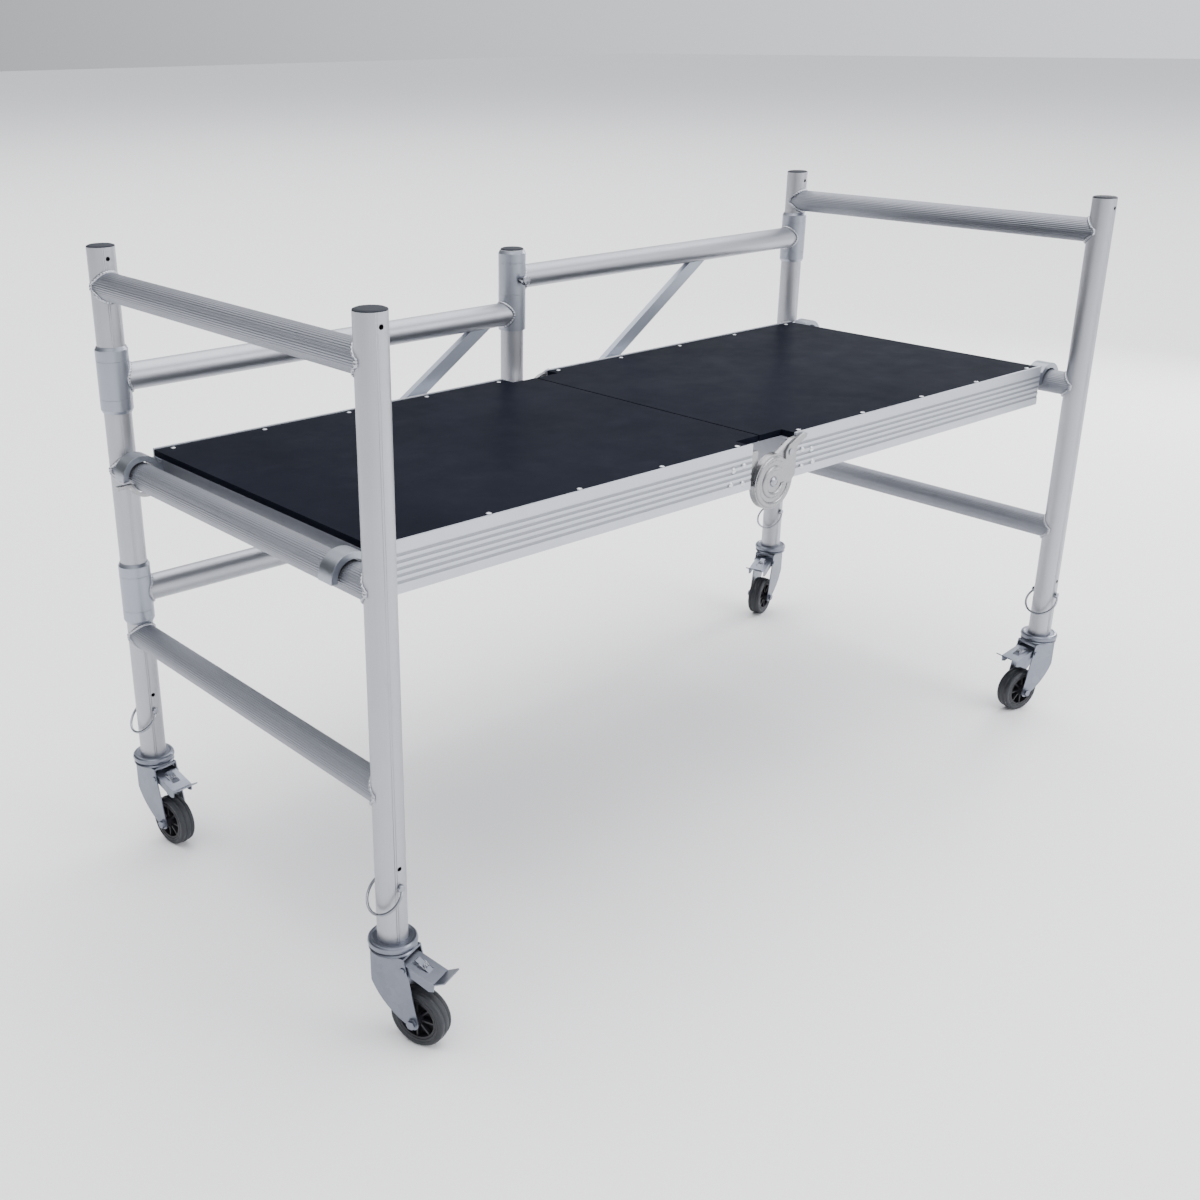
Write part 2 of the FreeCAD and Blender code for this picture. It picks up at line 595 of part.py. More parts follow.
def wind_latch(y):
    """The wind lock: a curved finger that turns round the rung, under it."""
    centre = vec(-HALF_X, y, MID_RUNG_Z)
    inner = TUBE_R + 2.5
    outer = inner + 7
    ring = rod(centre, Y, -5, 5, outer).cut(rod(centre, Y, -6, 6, inner))
    wide = outer + 20
    upper = block(-HALF_X - wide, -HALF_X + wide, y - 9, y + 9, MID_RUNG_Z - 6, MID_RUNG_Z + wide)
    finger = ring.cut(upper)
    tab = block(-HALF_X - outer - 22, -HALF_X - inner - 2, y - 5, y + 5, MID_RUNG_Z - 12, MID_RUNG_Z - 6)
    return finger.fuse(tab).removeSplitter()


def platform_half(side):
    k = SIDES[side]
    end_x = k * (HALF_X - END_SETBACK)
    for end, s in ENDS.items():
        y = PLATFORM_Y + s * PLATFORM_WIDTH / 2
        points = [p + X * (k * RAIL_CENTRE_GAP) for p in rail_section(y, s)]
        add(side + "_side_rails", prism(points, X * (end_x - k * RAIL_CENTRE_GAP)))
        add(side + "_claws", claw(side, y - s * (CLAW_WIDTH / 2 + 1)))
        add(side + "_hinge_leaves", hinge_leaf(side, y, s))
        for x, z in ((85, 16), (118, 20), (112, 46), (84, 50)):
            head = rod(vec(k * x, y, RAIL_BOTTOM_Z + z), Y * s, -GROOVE_DEPTH - 0.6, 2.0, 4.5)
            web = prism([p + X * (k * 70) for p in rail_section(y, s)], X * (k * 60))
            add(side + "_fasteners", head.cut(web))
    web_y = PLATFORM_WIDTH / 2 - RAIL_WEB - GROOVE_DEPTH
    low_y = PLATFORM_Y - web_y
    high_y = PLATFORM_Y + web_y
    deck = block(k * DECK_CENTRE_GAP, end_x, low_y, high_y, LEDGE_Z, DECK_TOP_Z)
    for y0, y1 in ((low_y, low_y + NOTCH_DEEP), (high_y - NOTCH_DEEP, high_y)):
        deck = deck.cut(block(0, k * (RAIL_CENTRE_GAP + 4), y0, y1, LEDGE_Z - 1, DECK_TOP_Z + 1))
    screw_run = abs(end_x) - DECK_SCREW_END - DECK_SCREW_START
    for s in ENDS.values():
        for step in range(DECK_SCREWS):
            x = DECK_SCREW_START + screw_run * step / (DECK_SCREWS - 1)
            y = PLATFORM_Y + s * (PLATFORM_WIDTH / 2 - DECK_SCREW_IN)
            sink = -DECK_SCREW_R / 2
            profile = [(0, 0), (DECK_SCREW_R, 0), (DECK_SCREW_R / 2, sink), (0, sink)]
            screw = turned(profile, vec(k * x, y, DECK_TOP_Z), Z, X)
            deck = deck.cut(screw)
            add(side + "_fasteners", screw)
    add(side + "_deck", deck)
    flange_y = PLATFORM_WIDTH / 2 - RAIL_FLANGE
    reach = (PLATFORM_Y - flange_y, PLATFORM_Y + flange_y)
    for x in (abs(end_x) - CROSS_BEAM_W, abs(end_x) / 2, RAIL_CENTRE_GAP + 10):
        beam = block(k * x, k * (x + CROSS_BEAM_W), reach[0], reach[1], RAIL_BOTTOM_Z + 6, LEDGE_Z)
        inside = block(k * (x + 2.5), k * (x + CROSS_BEAM_W - 2.5), reach[0] - 1, reach[1] + 1,
                       RAIL_BOTTOM_Z + 8.5, LEDGE_Z - 2.5)
        add(side + "_cross_beams", beam.cut(inside))


def platform():
    for side in SIDES:
        platform_half(side)
    for end, s in ENDS.items():
        y = PLATFORM_Y + s * PLATFORM_WIDTH / 2
        add("hinge_rivets", hinge_rivet(y, s))
        add(end + "_hinge_lever", hinge_lever(y, s))
        add("lever_pins", lever_pin(y, s))
    latch_y = PLATFORM_Y + PLATFORM_WIDTH / 2 - CLAW_WIDTH - 8
    add("left_wind_latch", wind_latch(latch_y))


def centre_on_floor():
    """Moves every piece so that the whole object's box is centred on the origin."""
    everything = Part.makeCompound([solid for solids in nodes.values() for solid in solids])
    box = everything.optimalBoundingBox(False, False)
    shift = vec(-(box.XMin + box.XMax) / 2, -(box.YMin + box.YMax) / 2, 0)
    for solids in nodes.values():
        for solid in solids:
            solid.translate(shift)
    print("shift", round(shift.x, 4), round(shift.y, 4), "box", box)


def main():
    for side in SIDES:
        end_frame(side)
    for corner in CASTER_ANGLES:
        caster(corner)
    back_frame()
    platform()
    centre_on_floor()
    os.makedirs("parts", exist_ok=True)
    for name, solids in nodes.items():
        shape = solids[0] if len(solids) == 1 else Part.makeCompound(solids)
        valid = shape.isValid() and shape.Volume > 0
        count = len(shape.Solids)
        print(name, "solids", count, "volume", round(shape.Volume), "" if valid else "INVALID")
        shape.exportStep("parts/" + name + ".step")


main()
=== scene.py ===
import bpy
import bmesh
import json
import math
import random
from mathutils import Matrix, Vector


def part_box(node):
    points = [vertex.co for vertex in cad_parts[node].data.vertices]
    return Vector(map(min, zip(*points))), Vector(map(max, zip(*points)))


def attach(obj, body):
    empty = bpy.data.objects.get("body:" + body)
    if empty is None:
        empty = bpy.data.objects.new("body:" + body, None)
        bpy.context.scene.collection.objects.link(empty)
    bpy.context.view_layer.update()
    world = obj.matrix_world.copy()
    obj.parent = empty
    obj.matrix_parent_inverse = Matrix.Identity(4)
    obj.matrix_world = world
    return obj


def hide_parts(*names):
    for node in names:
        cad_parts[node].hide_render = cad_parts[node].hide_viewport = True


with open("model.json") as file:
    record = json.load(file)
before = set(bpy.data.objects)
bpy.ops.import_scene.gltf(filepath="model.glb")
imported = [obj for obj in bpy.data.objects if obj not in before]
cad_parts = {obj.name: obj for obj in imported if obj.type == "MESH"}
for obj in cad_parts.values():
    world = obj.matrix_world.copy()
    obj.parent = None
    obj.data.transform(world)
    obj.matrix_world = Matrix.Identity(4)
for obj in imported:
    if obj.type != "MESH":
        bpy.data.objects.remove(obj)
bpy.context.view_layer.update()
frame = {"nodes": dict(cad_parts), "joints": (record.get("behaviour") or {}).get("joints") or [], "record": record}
random.seed(7)

# The looks of a folding baker scaffold, dressed on its CAD frame. Lengths are in metres.

SIDES = ("left", "right")
CORNERS = ("front_left", "back_left", "front_right", "back_right")
AXES = {"x": Vector((1, 0, 0)), "y": Vector((0, 1, 0)), "z": Vector((0, 0, 1))}


def centre(node):
    low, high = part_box(node)
    return (Vector(low) + Vector(high)) / 2


# Places read from the frame
TUBE_R = (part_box("middle_post")[1][0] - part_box("middle_post")[0][0]) / 2
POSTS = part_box("left_posts")
POST_LOW = POSTS[0][2]
POST_HIGH = POSTS[1][2]
POST_X = {side: centre(side + "_posts").x for side in SIDES}
POST_Y = {"front": POSTS[0][1] + TUBE_R, "back": POSTS[1][1] - TUBE_R}
MIDDLE = centre("middle_post")
RUNG_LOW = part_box("left_rungs")[0][2] + TUBE_R
RUNG_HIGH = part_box("left_rungs")[1][2] - TUBE_R
RUNG_Z = (RUNG_LOW, (RUNG_LOW + RUNG_HIGH) / 2, RUNG_HIGH)
BACK_RAILS = {side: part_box(side + "_back_rails") for side in SIDES}
RAIL_Z = {side: (box[0][2] + TUBE_R, box[1][2] - TUBE_R) for side, box in BACK_RAILS.items()}
SLEEVE_R = (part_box("middle_collar_rings")[1][0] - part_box("middle_collar_rings")[0][0]) / 2
DECK_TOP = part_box("left_deck")[1][2]


# Materials

def shade(tone, factor):
    """A colour made darker or lighter, no channel above 1."""
    return tuple(min(1.0, c * factor) for c in tone)


class Nodes:
    """A short way to write a procedural material's node tree."""

    MIX_SOCKETS = (0, 6, 7)

    def __init__(self, name, color, roughness, metallic=0.0, **extra):
        self.material = bpy.data.materials.new(name)
        self.material.use_nodes = True
        self.tree = self.material.node_tree
        self.shader = self.tree.nodes["Principled BSDF"]
        self.shader.inputs["Base Color"].default_value = (*color, 1)
        self.shader.inputs["Roughness"].default_value = roughness
        self.shader.inputs["Metallic"].default_value = metallic
        for key, value in extra.items():
            self.shader.inputs[key.replace("_", " ")].default_value = value
        self.place = self.add("ShaderNodeTexCoord").outputs["Object"]
        self.normal = None

    def feed(self, socket, value):
        """Links a socket to an output, or sets it to a plain value."""
        if hasattr(value, "links"):
            self.tree.links.new(value, socket)
        else:
            socket.default_value = value

    def add(self, kind, **inputs):
        node = self.tree.nodes.new(kind)
        for key, value in inputs.items():
            self.feed(node.inputs[key.replace("_", " ")], value)
        return node

    def stretched(self, scale):
        """Object coordinates stretched along an axis, as brushing and extrusion lines are."""
        node = self.add("ShaderNodeMapping", Vector=self.place)
        node.inputs["Scale"].default_value = scale
        return node.outputs["Vector"]

    def noise(self, scale, detail=4.0, vector=None, rough=0.55):
        vector = self.place if vector is None else vector
        node = self.add("ShaderNodeTexNoise", Vector=vector, Scale=scale, Detail=detail, Roughness=rough)
        return node.outputs["Fac"]

    def ramp(self, value, stops):
        node = self.add("ShaderNodeValToRGB", Fac=value)
        ramp = node.color_ramp
        while len(ramp.elements) < len(stops):
            ramp.elements.new(0.5)
        for element, (at, color) in zip(ramp.elements, stops):
            element.position = at
            element.color = (*color, 1) if isinstance(color, tuple) else (color, color, color, 1)
        return node.outputs["Color"]

    def span(self, value, low, high):
        """A 0 to 1 value carried to low..high."""
        node = self.add("ShaderNodeMapRange", Value=value, To_Min=low, To_Max=high)
        return node.outputs["Result"]

    def mix(self, factor, one, two):
        node = self.tree.nodes.new("ShaderNodeMix")
        node.data_type = "RGBA"
        for index, value in zip(self.MIX_SOCKETS, (factor, one, two)):
            self.feed(node.inputs[index], (*value, 1) if isinstance(value, tuple) else value)
        return node.outputs[2]

    def bump(self, height, depth, strength=1.0):
        node = self.add("ShaderNodeBump", Height=height, Distance=depth, Strength=strength)
        if self.normal is not None:
            self.tree.links.new(self.normal, node.inputs["Normal"])
        self.normal = node.outputs["Normal"]
        self.tree.links.new(self.normal, self.shader.inputs["Normal"])

    def math(self, operation, one, two=0.0):
        node = self.tree.nodes.new("ShaderNodeMath")
        node.operation = operation
        for socket, value in zip(node.inputs, (one, two)):
            self.feed(socket, value)
        return node.outputs[0]

    def color(self, value):
        self.tree.links.new(value, self.shader.inputs["Base Color"])

    def roughness(self, value):
        self.tree.links.new(value, self.shader.inputs["Roughness"])

    def edges(self, radius):
        """Rounds hard edges in shading by a small radius."""
        self.normal = self.add("ShaderNodeBevel", Radius=radius).outputs["Normal"]
        self.tree.links.new(self.normal, self.shader.inputs["Normal"])


def aluminium(name, tone, roughness, grain, line=0.00005, edge=0.0008, streak=0.10, grooves=False):
    """Satin extruded aluminium: die lines along the grain, a fine blasted sparkle, smudges and scuffs.

    line is the depth of the die lines, edge the radius of the rounding, streak the lines' contrast and grooves
    turns on painted shade in the rail grooves.
    """
    n = Nodes(name, tone, roughness, 0.92, Anisotropic=0.25)
    n.edges(edge)
    lines = n.noise(60.0, 3.0, n.stretched(grain))
    wide = n.noise(14.0, 2.0, n.stretched(grain))
    cloud = n.noise(7.0, 6.0)
    sparkle = n.noise(1100.0, 2.0)
    smudge = n.ramp(n.noise(26.0, 9.0, n.stretched((1.0, 1.0, 0.5)), 0.72), [(0.56, 0.0), (0.70, 1.0)])
    light = shade(tone, 1.0 + streak * 0.5)
    body = n.mix(n.span(lines, 0.1, 0.9), shade(tone, 1.0 - streak), light)
    body = n.mix(n.span(wide, 0.0, 0.30), body, shade(tone, 0.80))
    body = n.mix(n.span(cloud, 0.0, 0.22), body, shade(tone, 0.84))
    body = n.mix(n.span(sparkle, 0.0, 0.35), body, light)
    body = n.mix(n.span(smudge, 0.0, 0.22), body, shade(tone, 0.62))
    # Painted shade: the rail grooves are darkened in the colour, standing in for the shade that falls in them
    if grooves:
        body = n.mix(groove_shade_mask(n), body, shade(tone, GROOVE_SHADE_TONE))
    n.color(body)
    n.roughness(n.span(cloud, roughness - 0.05, roughness + 0.10))
    n.bump(lines, line, 0.5)
    n.bump(sparkle, 0.00004, 0.5)
    return n.material


# Grooves of the platform rails, measured up from their lower edge, and the shade painted into them
GROOVE_START = 0.016
GROOVE_PITCH = 0.0112
GROOVE_COUNT = 5
GROOVE_PART = 0.42
# Painted shade: the colour inside the grooves is darkened by this factor
GROOVE_SHADE_TONE = 0.55


def groove_shade_mask(n):
    """1 in the grooves that run along a platform rail, where shade is painted into the colour, 0 between them."""
    rails = frame["nodes"]["left_side_rails"]
    low = Vector(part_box("left_side_rails")[0])
    start = (rails.matrix_world.inverted() @ low).z + GROOVE_START
    height = n.add("ShaderNodeSeparateXYZ", Vector=n.place).outputs["Z"]
    count = n.math("DIVIDE", n.math("SUBTRACT", height, start), GROOVE_PITCH)
    inside = n.math("LESS_THAN", n.math("FRACT", count), GROOVE_PART)
    above = n.math("GREATER_THAN", count, 0.0)
    below = n.math("LESS_THAN", count, float(GROOVE_COUNT))
    return n.math("MULTIPLY", inside, n.math("MULTIPLY", above, below))


def galvanised(name, tone, roughness, spangle=90.0):
    """Zinc-plated pressed steel with a faint crystal pattern and dulled patches."""
    n = Nodes(name, tone, roughness, 1.0)
    n.edges(0.0009)
    cells = n.add("ShaderNodeTexVoronoi", Vector=n.place, Scale=spangle).outputs["Color"]
    grey = n.add("ShaderNodeRGBToBW", Color=cells).outputs["Val"]
    patch = n.noise(18.0, 6.0)
    body = n.mix(n.span(grey, 0.0, 0.45), tone, shade(tone, 0.74))
    n.color(n.mix(n.span(patch, 0.0, 0.35), body, shade(tone, 0.62)))
    n.roughness(n.span(patch, roughness - 0.08, roughness + 0.14))
    n.bump(patch, 0.00015, 0.5)
    n.bump(n.noise(420.0, 3.0), 0.00004, 0.5)
    return n.material


def blasted(name, tone, roughness):
    """Pressed or cast metal with a fine grain and a softly uneven face."""
    n = Nodes(name, tone, roughness, 1.0)
    n.edges(0.0012)
    grain = n.noise(900.0, 3.0, None, 0.7)
    cloud = n.noise(22.0, 5.0)
    n.color(n.mix(cloud, shade(tone, 0.84), shade(tone, 1.08)))
    n.roughness(n.span(cloud, roughness - 0.06, roughness + 0.12))
    n.bump(cloud, 0.0003, 0.4)
    n.bump(grain, 0.00006, 0.8)
    return n.material


def plastic(name, tone, roughness, ior=1.45):
    """Moulded plastic with a fine texture, dust in its hollows and a few scuffs."""
    n = Nodes(name, tone, roughness, IOR=ior)
    n.edges(0.0008)
    cloud = n.noise(30.0, 6.0)
    n.color(n.mix(n.span(cloud, 0.0, 0.5), tone, tuple(c * 1.9 + 0.006 for c in tone)))
    n.roughness(n.span(cloud, roughness - 0.08, roughness + 0.12))
    n.bump(n.noise(1400.0, 2.0), 0.00005, 0.5)
    return n.material


def rubber(name):
    """Solid black rubber, dusty on the tread."""
    n = Nodes(name, (0.022, 0.024, 0.03), 0.58)
    dust = n.ramp(n.noise(55.0, 8.0, None, 0.7), [(0.45, 0.0), (0.75, 1.0)])
    n.color(n.mix(n.span(dust, 0.0, 0.35), (0.014, 0.016, 0.021), (0.045, 0.047, 0.053)))
    n.roughness(n.span(dust, 0.5, 0.82))
    n.bump(n.noise(700.0, 3.0), 0.0001, 0.7)
    n.bump(n.noise(120.0, 4.0), 0.0002, 0.4)
    return n.material


def deck_board(name):
    """Film-faced plywood: a near-black skin, lightly clouded, with rubbed marks and pale specks."""
    n = Nodes(name, (0.007, 0.008, 0.014), 0.36, IOR=1.045)
    n.edges(0.0012)
    cloud = n.noise(3.2, 5.0)
    scratch = n.ramp(n.noise(70.0, 9.0, n.stretched((0.25, 1.0, 1.0)), 0.75), [(0.64, 0.0), (0.74, 1.0)])
    speck = n.ramp(n.noise(420.0, 2.0), [(0.72, 0.0), (0.78, 1.0)])
    rub = n.ramp(n.noise(9.0, 8.0, None, 0.7), [(0.52, 0.0), (0.72, 1.0)])
    body = n.mix(n.span(cloud, 0.0, 1.0), (0.0040, 0.0047, 0.0085), (0.0085, 0.0102, 0.0170))
    worn = n.mix(n.span(scratch, 0.0, 0.10), body, (0.05, 0.055, 0.07))
    worn = n.mix(n.span(rub, 0.0, 0.12), worn, (0.030, 0.033, 0.045))
    n.color(n.mix(n.span(speck, 0.0, 0.3), worn, (0.09, 0.09, 0.10)))
    n.roughness(n.span(n.noise(14.0, 6.0), 0.26, 0.46))
    n.bump(n.noise(9.0, 3.0), 0.0006, 0.35)
    n.bump(n.noise(900.0, 2.0), 0.00003, 0.6)
    return n.material


# Noise scales that stretch a pattern along one axis
LONG_X = (0.04, 9.0, 9.0)
LONG_Y = (9.0, 0.04, 9.0)
LONG_Z = (9.0, 9.0, 0.04)
MATERIALS = {
    "post_aluminium": aluminium("post_aluminium", (0.42, 0.425, 0.455), 0.42, LONG_Z),
    "tube_aluminium": aluminium("tube_aluminium", (0.42, 0.43, 0.465), 0.42, LONG_X),
    "rung_aluminium": aluminium("rung_aluminium", (0.27, 0.28, 0.315), 0.40, LONG_Y,
                                line=0.00010, edge=0.0003, streak=0.28),
    # The rails get painted shade in their grooves
    "rail_aluminium": aluminium("rail_aluminium", (0.52, 0.54, 0.59), 0.46, LONG_X,
                                edge=0.0004, streak=0.08, grooves=True),
    "rivet_aluminium": aluminium("rivet_aluminium", (0.60, 0.61, 0.64), 0.26, LONG_Z),
    "hinge_metal": blasted("hinge_metal", (0.30, 0.30, 0.31), 0.25),
    "plated_steel": galvanised("plated_steel", (0.34, 0.35, 0.39), 0.24, 40.0),
    "zinc_steel": galvanised("zinc_steel", (0.22, 0.235, 0.28), 0.32),
    "cap_plastic": plastic("cap_plastic", (0.012, 0.014, 0.020), 0.58, ior=1.25),
    "hub_plastic": plastic("hub_plastic", (0.010, 0.010, 0.013), 0.42),
    "tyre_rubber": rubber("tyre_rubber"),
    "deck_board": deck_board("deck_board"),
}
WELD = blasted("weld_bead", (0.44, 0.45, 0.49), 0.28)
SLEEVE = aluminium("sleeve_aluminium", (0.33, 0.35, 0.40), 0.36, LONG_Z)
CLAW_CAST = blasted("claw_casting", (0.32, 0.34, 0.38), 0.34)
BAR = aluminium("brace_aluminium", (0.40, 0.43, 0.50), 0.42, LONG_X)
BEAM = aluminium("beam_aluminium", (0.36, 0.37, 0.41), 0.42, LONG_Y)


def paint(obj, material):
    if not obj.data.materials:
        obj.data.materials.append(material)
    for place in obj.material_slots:
        place.material = material


NODE_MATERIALS = {
    "sleeves": SLEEVE,
    "collar": SLEEVE,
    "claws": CLAW_CAST,
    "brace": BAR,
    "cross_beams": BEAM,
}


def paint_frame():
    """Gives every carried-over node its record slot's material, or the one its name asks for."""
    for row in frame["record"]["subparts"]:
        material = MATERIALS[row["material_slot"]]
        for word, special in NODE_MATERIALS.items():
            if word in row["node"]:
                material = special
        paint(frame["nodes"][row["node"]], material)


# Mesh helpers

def mesh_piece(name, vertices, faces, material, body, slot):
    """A smooth visible piece that rides a body."""
    mesh = bpy.data.meshes.new(name)
    mesh.from_pydata([tuple(v) for v in vertices], [], faces)
    mesh.validate()
    work = bmesh.new()
    work.from_mesh(mesh)
    bmesh.ops.recalc_face_normals(work, faces=work.faces)
    work.to_mesh(mesh)
    work.free()
    for polygon in mesh.polygons:
        polygon.use_smooth = True
    obj = bpy.data.objects.new(name, mesh)
    bpy.context.collection.objects.link(obj)
    obj.data.materials.append(material)
    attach(obj, body)
    return obj


def loft(rings, closed_rings=False):
    """Vertices and faces of a skin over rings of points, all of one length."""
    size = len(rings[0])
    vertices = [p for ring in rings for p in ring]
    faces = []
    count = len(rings) if closed_rings else len(rings) - 1
    for i in range(count):
        a = i * size
        b = ((i + 1) % len(rings)) * size
        for j in range(size):
            k = (j + 1) % size
            faces.append((a + j, a + k, b + k, b + j))
    if not closed_rings:
        faces.append(tuple(reversed(range(size))))
        faces.append(tuple(range((len(rings) - 1) * size, len(rings) * size)))
    return vertices, faces


def joined(parts):
    """Several (vertices, faces) pairs as one."""
    vertices, faces = [], []
    for more, cells in parts:
        offset = len(vertices)
        vertices += more
        faces += [tuple(i + offset for i in cell) for cell in cells]
    return vertices, faces


def around(origin, axis, ref, radius, height, angle):
    """A point at a radius, height and angle round an axis."""
    side = axis.cross(ref)
    return origin + axis * height + (ref * math.cos(angle) + side * math.sin(angle)) * radius


def lathe(origin, axis, ref, profile, steps):
    """A closed skin turned about axis from a closed (radius, height) outline."""
    rings = []
    for i in range(steps):
        angle = 2 * math.pi * i / steps
        rings.append([around(origin, axis, ref, r, h, angle) for r, h in profile])
    return loft(rings, closed_rings=True)


DOME_SUNK = 0.0008


def dome(origin, axis, radius, height, steps=24, rows=6):
    """A low round head that stands on a face."""
    ref = axis.orthogonal().normalized()
    rings = []
    for row in range(rows + 1):
        t = math.pi / 2 * row / rows
        r = radius * math.cos(t) + 1e-5
        h = height * math.sin(t)
        rings.append([around(origin, axis, ref, r, h, 2 * math.pi * i / steps) for i in range(steps)])
    base = [around(origin, axis, ref, radius, -DOME_SUNK, 2 * math.pi * i / steps) for i in range(steps)]
    return loft([base] + rings)


# Welds

WELD_STEPS = 150
WELD_SIDES = 8
RUNG_BEAD = (0.0042, 34)
RAIL_BEAD = (0.0036, 32)


def saddle_weld(tube_axis, post, post_r, sign, z, kind):
    """A rippled bead round the joint of a level tube with an upright one.

    kind is the bead's radius and its number of ripples.
    """
    bead, ripples = kind
    level = AXES[tube_axis]
    side = AXES["y" if tube_axis == "x" else "x"]
    rings = []
    phase = random.random() * 6.28
    for i in range(WELD_STEPS):
        angle = 2 * math.pi * i / WELD_STEPS
        ripple = abs(math.sin(ripples * angle / 2 + phase))
        radius = bead * (0.78 + 0.30 * ripple + 0.08 * math.sin(3 * angle + phase))
        out = TUBE_R + bead * 0.15
        across = out * math.cos(angle)
        reach = math.sqrt(max(post_r ** 2 - across ** 2, 0)) + bead * 0.15
        middle = Vector((post.x, post.y, z)) + side * across + level * (sign * reach)
        middle.z += out * math.sin(angle)
        outward = (side * math.cos(angle) + Vector((0, 0, math.sin(angle)))).normalized()
        normal = (outward + level * sign * 0.7).normalized()
        tangent = (side * -math.sin(angle) + Vector((0, 0, math.cos(angle)))).normalized()
        other = normal.cross(tangent).normalized()
        ring = []
        for j in range(WELD_SIDES):
            turn = 2 * math.pi * j / WELD_SIDES
            ring.append(middle + (normal * math.cos(turn) + other * math.sin(turn)) * radius)
        rings.append(ring)
    return loft(rings, closed_rings=True)


def welds():
    for side in SIDES:
        beads = []
        for z in RUNG_Z:
            for end, sign in (("front", 1), ("back", -1)):
                post = Vector((POST_X[side], POST_Y[end], 0))
                beads.append(saddle_weld("y", post, TUBE_R, sign, z, RUNG_BEAD))
        mesh_piece(side + "_rung_welds", *joined(beads), WELD, side + "_frame", "rung_aluminium")
    for side, body in (("left", "back_left_half"), ("right", "back_right_half")):
        beads = []
        outer = Vector((POST_X[side], POST_Y["back"], 0))
        inner = Vector((MIDDLE.x, POST_Y["back"], 0))
        toward = 1 if side == "left" else -1
        for z in RAIL_Z[side]:
            beads.append(saddle_weld("x", outer, SLEEVE_R, toward, z, RAIL_BEAD))
            beads.append(saddle_weld("x", inner, SLEEVE_R, -toward, z, RAIL_BEAD))
        mesh_piece(side + "_rail_welds", *joined(beads), WELD, body, "tube_aluminium")


# Post details

SEAM_ANGLES = (-101.0, -109.0)
SEAM_R = 0.0006
SEAM_SUNK = 0.0002
SEAM_SIDES = 8


def post_seams():
    """The fine twin ribs that run along each extruded upright."""
    for side in SIDES:
        parts = []
        for end in ("front", "back"):
            for degrees in SEAM_ANGLES:
                angle = math.radians(degrees)
                origin = Vector((POST_X[side], POST_Y[end], 0))
                middle = origin + Vector((math.cos(angle), math.sin(angle), 0)) * (TUBE_R - SEAM_SUNK)
                rings = []
                for z in (POST_LOW + 0.001, POST_HIGH - 0.0005):
                    ring = []
                    for j in range(SEAM_SIDES):
                        turn = 2 * math.pi * j / SEAM_SIDES
                        point = middle + Vector((math.cos(turn), math.sin(turn), 0)) * SEAM_R
                        ring.append(Vector((point.x, point.y, z)))
                    rings.append(ring)
                parts.append(loft(rings))
        mesh_piece(side + "_post_seams", *joined(parts), MATERIALS["post_aluminium"],
                   side + "_frame", "post_aluminium")


# Wheels

TYRE_INNER_R = 0.036
TYRE_HALF = 0.016
TYRE_STEPS = 128


def arc_points(cr, ch, radius, start, end, steps):
    points = []
    for i in range(steps + 1):
        angle = math.radians(start + (end - start) * i / steps)
        points.append((cr + radius * math.cos(angle), ch + radius * math.sin(angle)))
    return points


def tyre_outline(outer, inner, half):
    """A tyre's section: round shoulders, two shallow grooves and a proud centre rib."""
    side = [(inner, 0.0), (inner, half - 0.0015), (inner + 0.0015, half)]
    side += [(inner + 0.004, half), (inner + 0.0045, half - 0.0006), (inner + 0.0055, half - 0.0006)]
    side += [(inner + 0.006, half)]
    side += arc_points(outer - 0.0055, half - 0.0045, 0.0045, 90, 12, 6)
    side += [(outer - 0.0008, 0.0075), (outer - 0.0022, 0.0066), (outer - 0.0022, 0.0056)]
    side += [(outer - 0.0005, 0.0044), (outer, 0.0030)]
    return side + [(r, -h) for r, h in reversed(side[1:])]


def wheels():
    for corner in CORNERS:
        origin, axis = joint_place(corner + "_roll")
        low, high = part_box(corner + "_tyre")
        outer = (high[2] - low[2]) / 2
        ref = Vector((0, 0, 1))
        outline = tyre_outline(outer, TYRE_INNER_R, TYRE_HALF)
        skin = lathe(origin, axis, ref, outline, TYRE_STEPS)
        tyre = mesh_piece(corner + "_tyre_skin", *skin, MATERIALS["tyre_rubber"],
                          corner + "_wheel", "tyre_rubber")
        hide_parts(corner + "_tyre")


# Joints and wires

def joint_place(name):
    """Where a joint's axis passes, and its direction."""
    for joint in frame["joints"]:
        if joint["name"] == name:
            return Vector(joint["pos_m"]), Vector(joint["axis"]).normalized()
    raise KeyError(name)


WIRE_STEPS = 5
WIRE_SIDES = 8


def wire(points, radius):
    """A round wire through points, smoothed between them."""
    path = []
    for i in range(len(points) - 1):
        before = points[max(i - 1, 0)]
        after = points[min(i + 2, len(points) - 1)]
        for step in range(WIRE_STEPS):
            t = step / WIRE_STEPS
            a, b = points[i], points[i + 1]
            path.append(0.5 * ((2 * a) + (b - before) * t + (2 * before - 5 * a + 4 * b - after) * t * t
                               + (3 * a - before - 3 * b + after) * t ** 3))
    path.append(points[-1])
    rings = []
    for i, point in enumerate(path):
        ahead = (path[min(i + 1, len(path) - 1)] - path[max(i - 1, 0)]).normalized()
        one = ahead.orthogonal().normalized() if i == 0 else (one - ahead * one.dot(ahead)).normalized()
        two = ahead.cross(one)
        rings.append([point + (one * math.cos(a) + two * math.sin(a)) * radius
                      for a in (2 * math.pi * j / WIRE_SIDES for j in range(WIRE_SIDES))])
    return loft(rings)


# Brake springs

# Outward, upward and sideways steps from the pedal's pivot
SPRING_SHAPE = (
    (0.004, 0.002, -0.007), (0.020, 0.0065, -0.0075), (0.030, 0.0005, -0.006),
    (0.026, 0.0075, -0.002), (0.031, 0.0025, 0.0), (0.026, 0.0075, 0.002),
    (0.030, 0.0005, 0.006), (0.020, 0.0065, 0.0075), (0.004, 0.002, 0.007),
)
SPRING_WIRE_R = 0.0010


